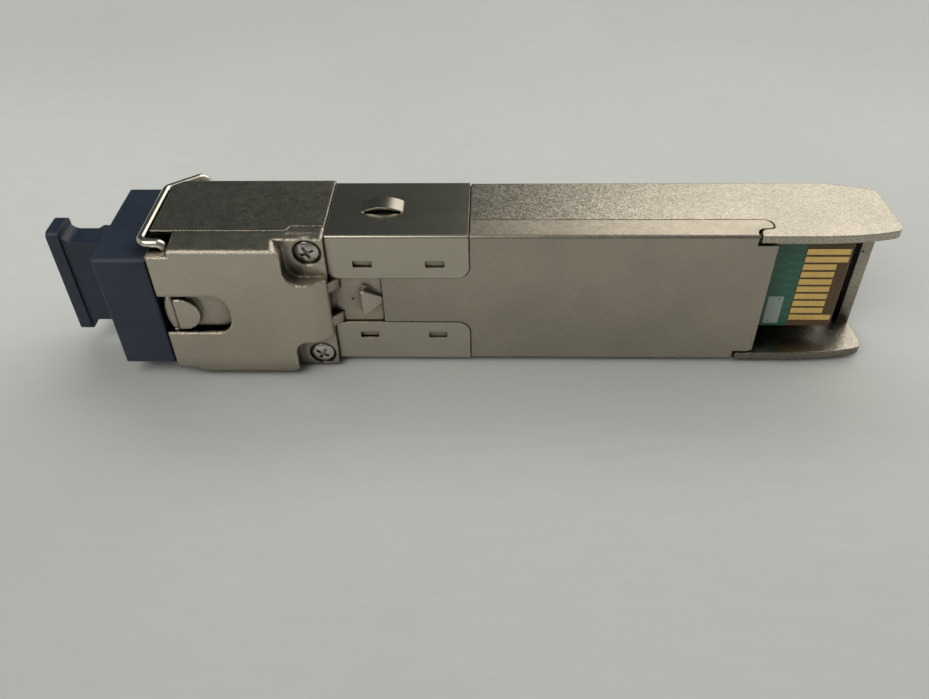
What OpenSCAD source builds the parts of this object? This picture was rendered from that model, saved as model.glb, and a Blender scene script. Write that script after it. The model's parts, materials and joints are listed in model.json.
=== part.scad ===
// Pluggable optical transceiver with one square push-pull fibre port.
// X runs from the port end (negative) to the card edge (positive).
// X = 0 is the shoulder of the latch boss, Y = 0 the bottom face of the body,
// Z = 0 the middle of the width. The module rests on its -Z side wall.
// "Front" is towards -X, "rear" towards +X. Cutters overrun the faces they open.

/* [Body] */
// Width of the body that slides into the cage
body_w = 13.4; // [13.3:0.05:13.5]
// Thickness of the body, bottom face to top face
body_h = 8.5; // [8.4:0.05:8.6]
// Distance from the latch shoulder to the rear of the side walls
rear_x = 45; // [44.6:0.1:45.4]
// Distance from the latch shoulder to the start of the rear opening
opening_x = 34.6; // [34.2:0.1:35]
// Thickness of the side walls beside the card edge
ear_t = 0.75; // [0.6:0.05:0.8]
// Corner radius of the body's long edges
edge_r = 0.3; // [0.2:0.05:0.4]

/* [Head] */
// Width of the head outside the cage
head_w = 14.0; // [13.8:0.05:14.2]
// Front face of the head
head_front_x = -17.1; // [-17.6:0.1:-16.9]
// Rear face of the head, which stops against the cage
head_rear_x = -2.6; // [-2.7:0.05:-2.5]
// Top face of the head
head_top_y = 8.6; // [8.5:0.05:8.8]
// Outer face of the head cover
plate_y = -2.1; // [-2.2:0.02:-2.1]
// Seam between the housing and the head cover
seam_y = 0.4; // [0.35:0.05:0.45]
// Width of the head cover's flat face
plate_w = 13.2; // [13:0.05:13.4]

/* [Port] */
// Height of the port's centre line above the bottom face
port_y = 3.9; // [3.88:0.01:3.92]
// Width of the connector body that the port takes
port_w = 9.06; // [9.02:0.01:9.1]
// Height of the connector body that the port takes
port_h = 7.46; // [7.42:0.01:7.48]

/* [Bail and slider] */
// Diameter of the bail wire
wire_d = 0.8; // [0.7:0.02:0.8]
// Crank radius of the bail
crank_r = 0.9; // [0.85:0.01:0.9]
// Angle of the crank forward of the plate's normal at rest
crank_deg = 40; // [38:0.5:40]
// Pivot axis of the bail, along the module
pivot_x = -15.7; // [-15.75:0.01:-15.65]
// Pivot axis of the bail, above the bottom face
pivot_y = -0.75; // [-0.76:0.01:-0.74]
// Distance of each bail leg from the middle
leg_z = 6.55; // [6.5:0.05:6.55]
// Distance of the bail legs from the latch shoulder
leg_x = -17.75; // [-17.85:0.05:-17.7]
// Length of the run that slants back over the head, bend point to bend point
slant_run = 3.75; // [3.5:0.25:4]
// Height at which the bail legs bend back
leg_top_y = 7.7; // [7.6:0.1:7.8]
// Bend radius of the bail wire, at its centre line
bail_bend = 0.7; // [0.6:0.1:0.8]

/* [Sheet parts] */
// Thickness of the bottom cover
cover_t = 0.3; // [0.25:0.01:0.3]
// Height of the bottom cover's side flanges
flange_h = 2.45; // [2.2:0.05:2.6]
// Thickness of the collar
collar_t = 0.2; // [0.15:0.01:0.2]
// Rear edge of the collar
collar_rear_x = 9.4; // [9.2:0.1:9.45]
// Half the gap between the collar's bottom flaps
flap_gap = 2.45; // [2.42:0.01:2.5]

/* [Board] */
// Underside of the circuit board above the bottom face
board_y = 2.25; // [2.2:0.01:2.3]
// Thickness of the circuit board
board_t = 1.0; // [0.95:0.01:1.0]
// Width of the card edge
board_w = 9.2; // [9.1:0.05:9.25]
// End of the card edge
board_end_x = 42.2; // [41.8:0.1:42.4]
// Pitch of the edge contacts
pad_pitch = 0.8; // [0.8:0.01:0.82]
// Number of contacts on each face
pad_count = 10; // [10]

/* [Hidden] */
$fn = 48;

// clearances, and a reach past either side of the module
slip = 0.02;
run_gap = 0.04;
wire_gap = 0.05;
far = 8;

// half widths and wire radius
body_z = body_w / 2;
head_z = head_w / 2;
plate_z = plate_w / 2;
wire_r = wire_d / 2;

// shared edges and levels
body_front_x = collar_rear_x + 0.1;
board_top_y = board_y + board_t;
port_low_y = port_y - port_h / 2;
insert_top_y = 8.05;
floor_y = 0.25;     // outer face of the head cover's tongue
tongue_z = 4.4;
bay_x = -6.5;       // front of the optics bay
bay_z = 5.0;        // half width of the port cavity and the optics bay

// bail: the slant run leans 4 along to 3 up
slant_cos = 0.8;
slant_sin = 0.6;
crank_x = pivot_x - crank_r * sin(crank_deg);
crank_y = pivot_y - crank_r * cos(crank_deg);
cross_x = leg_x + slant_cos * slant_run;
cross_y = leg_top_y + slant_sin * slant_run;
// underside of the slant run where it crosses the head's front face, less its clearance
bail_low_y = leg_top_y + (slant_sin * (head_front_x - leg_x) - wire_r - wire_gap) / slant_cos;

// cover screws and the pockets for their heads
screw_x = -4.0;
screw_z = 5.55;
screw_r = 0.7;
pocket_y = -0.7;
pocket_x = -6.0;
pocket_z = 3.1;

// slider channel, spring window and tines
channel_y = -1.55;
channel_z = 2.45;
channel_rear_x = head_rear_x - 0.9;
spring_fixed_x = -7.0;
window_x0 = -11.0;
window_x1 = -5.2;
tine_z0 = 1.31;
tine_z1 = 2.38;

// boss on the housing's roof that the thermal pad touches
heat_boss_x0 = 13.2;
heat_boss_x1 = 16.8;
heat_boss_y = 5.2;
heat_boss_z = 1.8;

// ---------- helpers ----------
module box(x0, x1, y0, y1, z0, z1)
    translate([x0, y0, z0]) cube([x1 - x0, y1 - y0, z1 - z0]);
// box centred on the middle of the width
module mid_box(x0, x1, y0, y1, half) box(x0, x1, y0, y1, -half, half);
module both_sides() {
    children();
    mirror([0, 0, 1]) children();
}
// a profile drawn in (Y, Z), run along X
module along_x(x0, x1)
    translate([x0, 0, 0]) rotate([90, 0, 90]) linear_extrude(x1 - x0) children();
// a profile drawn in (X, Z), run along Y
module along_y(y0, y1)
    translate([0, y1, 0]) rotate([90, 0, 0]) linear_extrude(y1 - y0) children();
// a profile drawn in (X, Y), run along Z
module along_z(z0, z1) translate([0, 0, z0]) linear_extrude(z1 - z0) children();
// rounded rectangle between a0..a1 and b0..b1
module rounded(a0, a1, b0, b1, r) {
    translate([a0 + r, b0]) square([a1 - a0 - 2 * r, b1 - b0]);
    translate([a0, b0 + r]) square([a1 - a0, b1 - b0 - 2 * r]);
    for (a = [a0 + r, a1 - r], b = [b0 + r, b1 - r]) translate([a, b]) circle(r);
}
// rods along each axis; the X rod lies on the port's centre line unless placed
module rod_x(x0, x1, r, y = port_y, z = 0)
    translate([x0, y, z]) rotate([0, 90, 0]) cylinder(r = r, h = x1 - x0);
module rod_y(y0, y1, r, x, z)
    translate([x, y1, z]) rotate([90, 0, 0]) cylinder(r = r, h = y1 - y0);
module rod_z(z0, z1, r, x, y) translate([x, y, z0]) cylinder(r = r, h = z1 - z0);

// ---------- housing ----------
waist_y0 = 0.2;
waist_y1 = 8.3;
waist_z = 6.5;
lug_z = 5.4;        // inner face of the head cover's rear lugs
board_bay_z = 5.6;
bay_top_y = 7.5;    // roof of the board bay

// side view of the rear body (x, y)
body_outline = [
    [body_front_x, 0], [38.4, 0], [41.0, 0.14], [42.8, 0.38], [43.9, 0.62],
    [rear_x - 0.5, 0.8], [rear_x - 0.22, 0.98], [rear_x - 0.05, 1.3], [rear_x, 1.75],
    [rear_x - 0.32, 6.4], [rear_x - 0.42, 6.85], [rear_x - 0.72, 7.15],
    [43.6, 7.45], [42.2, 7.82], [40.6, 8.2], [39.0, body_h], [body_front_x, body_h]];

// seat of the bottom cover's flange (x from the rear opening, y)
flange_seat = [
    [collar_rear_x - opening_x, -1], [-1.22, -1], [-1.22, 0.42], [-1.1, 0.78],
    [-0.85, 1.0], [-0.4, 1.09], [-0.15, 1.12], [0, 1.25], [0.04, 1.55], [0, 1.95],
    [-0.2, flange_h - 0.12], [-0.55, flange_h + 0.03],
    [collar_rear_x - opening_x, flange_h + 0.03]];

// side view of a head cover lug, grown by gap for its seat
module lug_profile(foot_x, foot_y, gap) polygon([
    [foot_x, foot_y], [-5.7 - gap, seam_y], [-5.4 - gap, 1.05 + gap],
    [head_rear_x, 1.05 + gap], [head_rear_x, foot_y]]);

module housing_shell() {
    // head, above the seam
    along_x(head_front_x, head_rear_x) difference() {
        rounded(seam_y - 2, head_top_y, -head_z, head_z, 0.35);
        translate([seam_y - 3, -far]) square([3, 2 * far]);
    }
    // waist under the collar
    along_x(head_rear_x - 0.5, collar_rear_x + 0.6)
        translate([waist_y0, -waist_z]) square([waist_y1 - waist_y0, 2 * waist_z]);
    // rear body
    intersection() {
        along_x(body_front_x, rear_x) difference() {
            rounded(-1, body_h, -body_z, body_z, edge_r);
            translate([-3, -far]) square([3, 2 * far]);
        }
        along_z(-far, far) polygon(body_outline);
    }
    // keepers that hold the bail's pivot in its channel
    both_sides()
        box(pivot_x - 0.4, pivot_x + 0.4, pivot_y + wire_r + 0.03, seam_y + 0.1, 5.15, 5.75);
}

module main_housing() color([0.62, 0.61, 0.57]) difference() {
    housing_shell();
    // seat of the bottom cover and its flanges
    both_sides() along_z(body_z - cover_t - slip, far)
        translate([opening_x, 0]) polygon(flange_seat);
    mid_box(-2.55, opening_x - 1.22, -1, cover_t + slip, far);
    mid_box(opening_x - 1.3, opening_x + slip, -1, cover_t + slip, 6.02);
    // waist floor is open for the head cover's tongue
    mid_box(head_rear_x - 0.6, 4.6, -1, 1.3, 5.2);
    mid_box(head_rear_x - 0.6, head_rear_x, -1, seam_y, far);
    // seats of the head cover's rear lugs
    both_sides() along_z(lug_z - slip, far) lug_profile(-5.78, -1, slip);
    // front corners give way to the bail's slant run
    both_sides() along_z(head_z - 0.95, far) polygon([
        [head_front_x - 1, bail_low_y - 0.75], [head_front_x, bail_low_y],
        [head_front_x + 4, bail_low_y + 3], [head_front_x - 1, bail_low_y + 3]]);
    // port cavity
    mid_box(head_front_x - 1, bay_x + 0.1, -1, 8.1, bay_z);
    // optics bay
    mid_box(bay_x, 9, -1, 7.4, bay_z);
    // board bay, less the side ledges over the board and the heat boss
    difference() {
        mid_box(8.9, opening_x + 0.1, -1, bay_top_y, board_bay_z);
        both_sides() box(12, 33.5, board_top_y + slip, 8, 4.75, 6);
        mid_box(heat_boss_x0, heat_boss_x1, heat_boss_y, 8, heat_boss_z);
    }
    // space round the card edge
    mid_box(opening_x, rear_x + 1, -1, 4.6, body_z - ear_t);
    mid_box(opening_x - 0.1, rear_x - 1.2, -1, bay_top_y, body_z - ear_t);
    // bores of the two cover screws
    both_sides() rod_y(-1, 5.2, screw_r + 0.01, screw_x, screw_z);
}

// ---------- head cover ----------
boss_len = 1.8;
boss_y = -0.45;     // crest of the latch boss

// end view of the slab, drafted towards the plate (y, z)
slab_section = [
    [seam_y - 0.02, -head_z + 0.02], [seam_y - 0.02, head_z - 0.02],
    [plate_y + 0.45, plate_z + 0.12], [plate_y + 0.12, plate_z + 0.02],
    [plate_y, plate_z - 0.12], [plate_y, -plate_z + 0.12],
    [plate_y + 0.12, -plate_z - 0.02], [plate_y + 0.45, -plate_z - 0.12]];

// side view of the slab, bevelled down to the rear edge (x, y)
slab_outline = [
    [head_front_x, 1], [head_front_x, plate_y + 0.12], [head_front_x + 0.12, plate_y],
    [-4.3, plate_y], [-3.9, plate_y + 0.08], [-2.9, plate_y + 0.62],
    [head_rear_x, plate_y + 0.95], [head_rear_x, 1]];

// window and pocket of a tine (x, y)
tine_pocket = [
    [-4.7, channel_y], [-3.45, channel_y], [-2.85, -0.95], [-1.5, -0.95],
    [-1.5, floor_y], [-3.15, floor_y], [-3.85, -0.3], [-4.7, -0.3]];

// a wedge whose square shoulder faces the port end
module latch_boss() intersection() {
    along_y(-1, floor_y + 0.1) polygon([
        [0, -1.3], [0, 1.3], [0.35, 1.3], [boss_len, 0.35], [boss_len, -0.35], [0.35, -1.3]]);
    along_z(-2, 2) polygon([
        [0, floor_y + 0.1], [0, boss_y], [0.45, boss_y],
        [boss_len, 0.02], [boss_len, floor_y + 0.1]]);
}

module head_cover_blank() {
    intersection() {
        along_x(head_front_x, head_rear_x) polygon(slab_section);
        along_z(-far, far) polygon(slab_outline);
    }
    // rear lugs that stand up into the housing
    both_sides() along_z(lug_z, head_z - 0.02) lug_profile(-5.75, seam_y - 0.3, 0);
    // tongue that carries the latch boss between the collar's flaps
    mid_box(-3.2, 1.8, floor_y, 1.2, tongue_z);
    mid_box(1.7, 2.3, cover_t + 0.05, 1.2, tongue_z);
    latch_boss();
}

module head_cover() color([0.49, 0.47, 0.43]) difference() {
    head_cover_blank();
    // seat of the port insert
    mid_box(head_front_x - 1, bay_x + 0.1, port_low_y - 0.45, 1, bay_z);
    // keep the inside clear behind the port insert
    mid_box(bay_x, -3.2, 0.15, 1, tongue_z);
    // channel of the slider, with the spring's post left standing
    difference() {
        mid_box(head_front_x - 1, channel_rear_x, channel_y, port_low_y - 0.45, channel_z);
        mid_box(spring_fixed_x, spring_fixed_x + 0.7, -2, 1, 0.9);
    }
    // trims the outer part of the post to a thin wall
    mid_box(spring_fixed_x + 0.1, channel_rear_x, channel_y, -0.45, channel_z);
    both_sides() along_z(tine_z0 - 0.06, channel_z) polygon(tine_pocket);
    // front notch in the plate
    along_y(-3, -1.5) rounded(head_front_x - 4, -11.15, -2.0, 2.0, 1.5);
    // swing room of the bail's crank
    mid_box(pivot_x - 1.1, pivot_x + 1.05, -3, 0, 1.98);
    // channel of the bail's pivot
    both_sides()
        box(pivot_x - wire_r - wire_gap, pivot_x + wire_r + wire_gap, pivot_y, 1, 1.5, far);
    both_sides() rod_z(1.5, far, wire_r + wire_gap, pivot_x, pivot_y);
    // corner recess for each bail leg
    both_sides() box(head_front_x - 1, pivot_x + 0.55, -3, seam_y + 0.1, 6.05, far);
    // screw pockets, open to the side and to the rear
    both_sides() along_y(-3, pocket_y) rounded(pocket_x, 2, pocket_z, 12, 1.3);
    both_sides() along_y(-3, pocket_y) polygon([
        [pocket_x - 1, head_z + 0.1], [pocket_x + 0.2, head_z + 0.1],
        [pocket_x + 0.2, head_z - 0.85], [pocket_x, head_z - 0.85]]);
    // counterbores and bores of the screws
    both_sides() rod_y(-1.2, pocket_y + 0.4, 1.22, screw_x, screw_z);
    both_sides() rod_y(-1.2, 1.2, screw_r + 0.1, screw_x, screw_z);
    // small dimple in front of the boss
    rod_y(floor_y - 0.2, floor_y + 0.1, 0.14, -0.8, 0);
}

// ---------- bottom cover ----------
// relief that leaves a nose on the flange (x from the rear opening, y)
flange_relief = [
    [-1.5, -1], [-1.5, 0.55], [-1.36, 0.92], [-1.05, 1.13], [-0.45, 1.19],
    [-0.2, 1.24], [-0.08, 1.38], [-0.06, 1.6], [-0.1, 1.9],
    [-0.28, flange_h - 0.22], [-0.6, flange_h], [-0.6, 4], [1, 4], [1, -1]];

module bottom_cover() color([0.50, 0.48, 0.44]) difference() {
    union() {
        // floor and side flanges
        along_x(body_front_x, opening_x) difference() {
            rounded(0, 6, -body_z, body_z, edge_r);
            translate([cover_t, -body_z + cover_t]) square([9, 2 * (body_z - cover_t)]);
            translate([flange_h, -far]) square([9, 2 * far]);
        }
        // tongue between the collar's flaps
        mid_box(1.85, collar_rear_x + 0.2, 0, cover_t, flap_gap - 0.06);
        // thinned wings that close the floor under the collar's flaps
        mid_box(2.35, collar_rear_x + 0.2, 0.18, cover_t, 4.9);
        // lip at the rear edge
        mid_box(opening_x - 0.3, opening_x + 0.27, 0, cover_t, 5.7);
        // fillets beside the tongue
        both_sides() along_y(0, cover_t) difference() {
            translate([collar_rear_x - 1.0, flap_gap - 0.2]) square([1.15, 1.3]);
            translate([collar_rear_x - 1.05, flap_gap + 1.1]) circle(1.14);
        }
    }
    // each flange ends in a nose over a hooked relief
    both_sides() along_z(body_z - 0.95, far) translate([opening_x, 0]) polygon(flange_relief);
    // long bevel along the lip
    along_z(-6.1, 6.1) translate([opening_x, 0])
        polygon([[-0.2, -1], [-0.2, 0], [0.28, 0.13], [1, 0.13], [1, -1]]);
}

// ---------- collar ----------
collar_out = 0.05;                  // how far the collar stands out from the body
collar_z = body_z + collar_out;
arch_x = 2.0;
arch_r = 3.7;
arch_rise = 0.5;
flap_corner_r = 1.1;
flap_slot_x = [0.38, 6.54];

// arched contact spring on the +Z side wall
module side_arch() intersection() {
    translate([arch_x, 0, collar_z + arch_rise - arch_r]) rotate([-90, 0, 0]) difference() {
        cylinder(r = arch_r, h = 9);
        translate([0, 0, -1]) cylinder(r = arch_r - collar_t, h = 11);
    }
    box(arch_x - 1.9, arch_x + 1.9, 3.55, 5.25, collar_z - collar_t + 0.001, 9);
}

module emi_collar() color([0.45, 0.46, 0.46]) {
    difference() {
        along_x(head_rear_x + 0.05, collar_rear_x) difference() {
            rounded(-collar_out, body_h + collar_out, -collar_z, collar_z, 0.3);
            rounded(-collar_out + collar_t, body_h + collar_out - collar_t,
                    -collar_z + collar_t, collar_z - collar_t, 0.1);
        }
        // gap between the flaps, with rounded rear corners
        mid_box(head_rear_x - 1, collar_rear_x + 1, -1, 0.5, flap_gap);
        both_sides() along_y(-1, 0.5) difference() {
            translate([collar_rear_x - flap_corner_r, flap_gap - 0.1]) square([2, 1.2]);
            translate([collar_rear_x - flap_corner_r, flap_gap + flap_corner_r])
                circle(flap_corner_r);
        }
        // slots in the flaps
        for (x = flap_slot_x)
            both_sides() along_y(-1, 0.5) rounded(x - 0.82, x + 0.82, 3.54, 4.24, 0.15);
        // windows under the arched springs
        both_sides() box(arch_x - 1.55, arch_x + 1.55, 3.3, 5.5, 5, far);
    }
    both_sides() side_arch();
}

// ---------- cover screws ----------
screw_head_y = pocket_y - 0.12;
dome_r = 2.2;
drive_len = 1.24;
drive_w = 0.28;

module cover_screw() difference() {
    union() {
        // domed head
        intersection() {
            rod_y(screw_head_y, screw_head_y + 0.5, 1.0, screw_x, screw_z);
            translate([screw_x, screw_head_y + dome_r, screw_z]) sphere(dome_r, $fn = 64);
        }
        rod_y(pocket_y + 0.3, 4.9, screw_r, screw_x, screw_z);
    }
    // cross recess
    translate([screw_x, pocket_y - 0.3, screw_z]) {
        for (a = [45, 135])
            rotate([0, a, 0])
                translate([-drive_len / 2, 0, -drive_w / 2]) cube([drive_len, 0.55, drive_w]);
        rotate([-90, 0, 0]) cylinder(r = 0.27, h = 0.6);
    }
}

module cover_screws() color([0.66, 0.65, 0.62]) both_sides() cover_screw();

// ---------- bail ----------
function unit(v) = v / norm(v);
// matrix that maps X to u, Y to v and the origin to c
function frame_of(u, v, c) =
    let (n = cross(u, v))
    [[u[0], v[0], n[0], c[0]], [u[1], v[1], n[1], c[1]], [u[2], v[2], n[2], c[2]], [0, 0, 0, 1]];

// straight length of wire from one point to another
module straight(from, to) {
    run = to - from;
    length = norm(run);
    translate(from) rotate([0, acos(run[2] / length), atan2(run[1], run[0])])
        cylinder(r = wire_r, h = length);
}

// round wire through a list of points, bent to a radius at each inner point
module wire(points, bend) {
    last = len(points) - 1;
    dirs = [for (i = [0:last - 1]) unit(points[i + 1] - points[i])];
    // length that each bend takes from the runs on either side of it
    trims = [for (i = [0:last])
        (i == 0 || i == last) ? 0 : bend * tan(acos(dirs[i - 1] * dirs[i]) / 2)];
    for (i = [0:last - 1])
        straight(points[i] + dirs[i] * trims[i], points[i + 1] - dirs[i] * trims[i + 1]);
    for (i = [1:last - 1]) {
        before = dirs[i - 1];
        turn = before * dirs[i];
        inward = unit(dirs[i] - turn * before);
        centre = points[i] - before * trims[i] + inward * bend;
        multmatrix(frame_of(-inward, before, centre))
            rotate_extrude(angle = acos(turn)) translate([bend, 0]) circle(wire_r, $fn = 24);
    }
}

module bail_wire() color([0.78, 0.77, 0.72]) {
    both_sides() wire([
        [pivot_x, pivot_y, 1.7], [pivot_x, pivot_y, leg_z], [leg_x, pivot_y, leg_z],
        [leg_x, leg_top_y, leg_z], [cross_x, cross_y, leg_z], [cross_x, cross_y, 2]],
        bail_bend);
    // middle of the crossbar
    rod_z(-2.1, 2.1, wire_r, cross_x, cross_y);
    // crank: a pin between two webs
    rod_z(-1.7, 1.7, wire_r, crank_x, crank_y);
    both_sides() along_z(1.63, 1.95) {
        translate([pivot_x, pivot_y]) circle(wire_r);
        translate([crank_x, crank_y]) circle(wire_r);
        translate([crank_x, crank_y]) rotate(90 - crank_deg)
            translate([0, -wire_r]) square([crank_r, wire_d]);
    }
}

// ---------- delatch slider ----------
slider_y0 = -1.48;
slider_y1 = -0.5;

// side view of a tine (x, y)
tine_outline = [
    [-6.0, -1.5], [-4.75, -1.5], [-4.15, -0.88], [-2.75, -0.88], [-1.7, 0.12], [-1.7, 0.2],
    [-2.85, 0.2], [-3.5, -0.36], [-4.35, -0.36], [-4.5, -0.55], [-6.0, -0.55]];

module delatch_slider() color([0.62, 0.60, 0.55]) difference() {
    union() {
        // round boss in the front notch
        rod_y(-2.05, -1.2, 1.6, -15.4, 0);
        mid_box(-16.85, -15.0, -1.3, slider_y1, 1.08);
        // strap and tines
        mid_box(-15.0, -10.0, slider_y0, slider_y1, 1.6);
        mid_box(-15.25, -14.9, slider_y0, -1.2, 1.55);
        mid_box(-10.6, -4.9, slider_y0, slider_y1, tine_z1);
        both_sides() along_z(tine_z0, tine_z1) polygon(tine_outline);
    }
    // groove that the bail's crank runs in, open towards the plate
    mid_box(crank_x - 1.2, crank_x + wire_r + run_gap, -3, crank_y + wire_r + run_gap, 3);
    // window that holds the return spring
    mid_box(window_x0, window_x1, -3, 1, 1.25);
}

// flat serpentine return spring between the slider and the cover's post
module slider_spring() color([0.7, 0.7, 0.68]) {
    folds = 6;
    strip = 0.16;
    half = 0.95;
    start_x = window_x0 + slip;
    pitch = (spring_fixed_x - window_x0 - 2 * slip - strip) / folds;
    along_y(-1.3, -0.75) union() {
        for (i = [0:folds])
            translate([start_x + i * pitch, -half]) square([strip, 2 * half]);
        // links alternate between the two sides
        for (i = [0:folds - 1])
            translate([start_x + i * pitch, (i % 2 == 0) ? half - strip : -half])
                square([pitch + strip, strip]);
    }
}

// ---------- dust plug ----------
plug_front = -21.65;
plug_rear = head_front_x - 0.1;
grip_front_x = -27.3;
grip_rear_x = -26.2;
neck_y0 = 2.5;
neck_y1 = 4.85;
fillet_x = -25.25;      // centre of the elliptical fillets
fillet_z = 5.3;

module dust_plug() color([0.13, 0.16, 0.20]) difference() {
    union() {
        // flange
        intersection() {
            along_x(plug_front, plug_rear) rounded(-2.1, 9.35, -5.8, 5.8, 0.65);
            along_z(-far, far) rounded(plug_front, plug_rear, -2.1, 9.35, 0.2);
        }
        // grip plate and neck
        along_x(grip_front_x, grip_rear_x) rounded(2.3, 5.2, -5.4, 5.4, 0.5);
        mid_box(-26.4, plug_front + 0.3, neck_y0, neck_y1, 4.3);
        // hollow fillets from the plate to the neck
        both_sides() along_y(neck_y0, neck_y1) polygon(concat(
            [[-26.3, 4.2], [-26.3, fillet_z]],
            [for (i = [0:6]) [fillet_x - 0.95 * cos(15 * i), fillet_z - sin(15 * i)]],
            [[fillet_x, 4.2]]));
        // ramps on the neck's top, behind the grip plate and before the flange
        along_z(-4.2, 4.2) polygon([
            [-26.3, 2.6], [-26.3, 5.15], [-26.0, 5.1], [-25.6, 4.95], [-25.2, 4.8], [-25.2, 2.6]]);
        along_z(-4.2, 4.2) polygon([
            [-23.85, 4.8], [-23.45, 5.5], [plug_front + 0.3, 5.5], [plug_front + 0.3, 4.8]]);
        // body that fills the port, with a key on top
        along_x(plug_rear - 0.3, -8.4) rounded(port_y - 3.65, port_y + 3.65, -4.45, 4.45, 0.25);
        mid_box(plug_rear - 0.3, -11, port_y + 3, 8.02, 1.1);
    }
    // hollow over the sleeve
    rod_x(-14.2, -8, 2.75);
    // side slots that clear the latch hooks
    both_sides() box(-13.6, -8, port_y - 1.25, port_y + 1.25, 2.9, 5);
    // groove behind the grip plate
    both_sides() box(grip_rear_x, -25.75, 2.6, 5.3, 3.95, 4.4);
}

// ---------- port ----------
hook_y = 1.05;      // half height of the latch hooks

module port_insert() color([0.12, 0.13, 0.14]) difference() {
    along_x(head_front_x + 0.2, -6.6) rounded(port_low_y - 0.42, insert_top_y, -4.95, 4.95, 0.2);
    // connector opening and its keyway
    mid_box(head_front_x, -7.3, port_low_y, port_y + port_h / 2, port_w / 2);
    mid_box(head_front_x, -10.8, port_y, 9, 1.25);
    // rear wall openings for the sleeve holder and the hooks
    rod_x(-8, -6, 2.65);
    both_sides() box(-8, -6, port_y - 1.2, port_y + 1.2, 3.1, 4.2);
}

module latch_hook_clip() color([0.85, 0.83, 0.76]) difference() {
    union() {
        along_x(-6.55, -6.0) rounded(port_y - 2.9, port_y + 2.9, -4.4, 4.4, 0.3);
        both_sides() box(-12.4, -6.5, port_y - hook_y, port_y + hook_y, 3.5, 4.05);
        both_sides() along_y(port_y - hook_y, port_y + hook_y) polygon([
            [-13.1, 3.6], [-12.2, 3.05], [-12.0, 3.05], [-12.0, 4.05], [-13.1, 4.05]]);
    }
    rod_x(-7, -5, 2.5);
}

// ---------- optics ----------
sleeve_r = 1.68;
stub_flange_r = 1.66;
block_half = 2.6;
laser_r = 2.3;
detector_r = 1.9;
detector_x = -1.2;
pin_r = 0.2;
flex_t = 0.12;
flex_end_x = 11.2;
laser_flex_x = 4.6;
detector_flex_z = -4.4;

module sleeve_holder() color([0.72, 0.71, 0.68]) difference() {
    union() {
        rod_x(-13.0, -5.2, 2.3);
        rod_x(-5.95, -5.2, 3.0);
    }
    rod_x(-14, -12.4, 1.32);
    rod_x(-12.6, -5, sleeve_r + run_gap);
}

module split_sleeve() color([0.93, 0.92, 0.88]) difference() {
    rod_x(-12.55, -7.0, sleeve_r);
    rod_x(-13, -9.05, 1.25);
    rod_x(-9.1, -6, 1.256);
    mid_box(-13, -6, port_y + 1, port_y + 2, 0.15);
}

module fibre_stub() color([0.95, 0.94, 0.90]) difference() {
    union() {
        rod_x(-9.0, -4.6, 1.245);
        rod_x(-6.9, -3.4, stub_flange_r);
    }
    rod_x(-9.5, -3, 0.0625);
}

module optical_block() color([0.68, 0.66, 0.60]) difference() {
    mid_box(-5.1, 2.4, port_y - block_half, port_y + block_half, block_half);
    // bores for the stub, the light path and the laser
    rod_x(-6, -3.3, stub_flange_r + slip);
    rod_x(-3.4, 1, 1.2);
    rod_x(0.9, 3, laser_r + run_gap);
    // side bore for the detector
    rod_z(-3, -1.1, detector_r + run_gap, detector_x, port_y);
    rod_z(-1.2, 0, 0.9, detector_x, port_y);
}

// a top leaf, a side leaf and a foot
module block_clamp() color([0.7, 0.7, 0.68]) {
    leaf_t = 0.3;
    foot_y = 1.6;
    top_y = port_y + block_half + slip + leaf_t;
    side_z = block_half + run_gap;
    box(-2.6, 0.2, top_y - leaf_t, top_y, -3.0, 4.4);
    box(-2.6, 0.2, foot_y, top_y, side_z, side_z + leaf_t);
    box(-2.6, 0.2, foot_y, foot_y + leaf_t, side_z, 4.4);
}

module laser_pins(x0, x1, r)
    for (a = [45:90:315]) rod_x(x0, x1, r, port_y + 1.27 * cos(a), 1.27 * sin(a));
module detector_pins(z0, z1, r)
    for (a = [0:90:270]) rod_z(z0, z1, r, detector_x + 1.1 * cos(a), port_y + 1.1 * sin(a));

module laser_can() color([0.78, 0.70, 0.42]) {
    difference() {
        rod_x(0.95, 2.6, laser_r);
        rod_x(0.9, 1.3, 0.7);
    }
    rod_x(2.45, 3.5, 2.6);
    laser_pins(3.4, 5.3, pin_r);
}

module detector_can() color([0.78, 0.70, 0.42]) {
    rod_z(-2.8, -1.3, detector_r, detector_x, port_y);
    rod_z(-3.6, -2.65, 2.3, detector_x, port_y);
    detector_pins(-4.85, -3.5, pin_r);
}

module laser_flex() color([0.80, 0.50, 0.14]) difference() {
    low_y = board_top_y + slip;
    union() {
        mid_box(laser_flex_x, laser_flex_x + flex_t, low_y, 6.2, 2.2);
        mid_box(laser_flex_x, flex_end_x, low_y, low_y + flex_t, 2.2);
    }
    laser_pins(4, 5, pin_r + run_gap);
}

module detector_flex() color([0.80, 0.50, 0.14]) difference() {
    outer_z = detector_flex_z - flex_t;
    tail_y = 3.5;
    union() {
        box(-3.3, 1.0, 2.2, 5.7, outer_z, detector_flex_z);
        box(0.9, flex_end_x, tail_y, 5.0, outer_z, detector_flex_z);
        box(9.6, flex_end_x, tail_y, tail_y + flex_t, outer_z, -2.7);
        box(flex_end_x - flex_t, flex_end_x, 3.28, tail_y + flex_t, outer_z, -2.7);
    }
    detector_pins(-5, -4, pin_r + run_gap);
}

// ---------- board ----------
edge_cut = 0.35;        // corner cut of the card edge
contact_t = 0.04;
contact_gold = [0.72, 0.58, 0.33];
chip_black = [0.12, 0.12, 0.13];
driver_h = 0.85;

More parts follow.
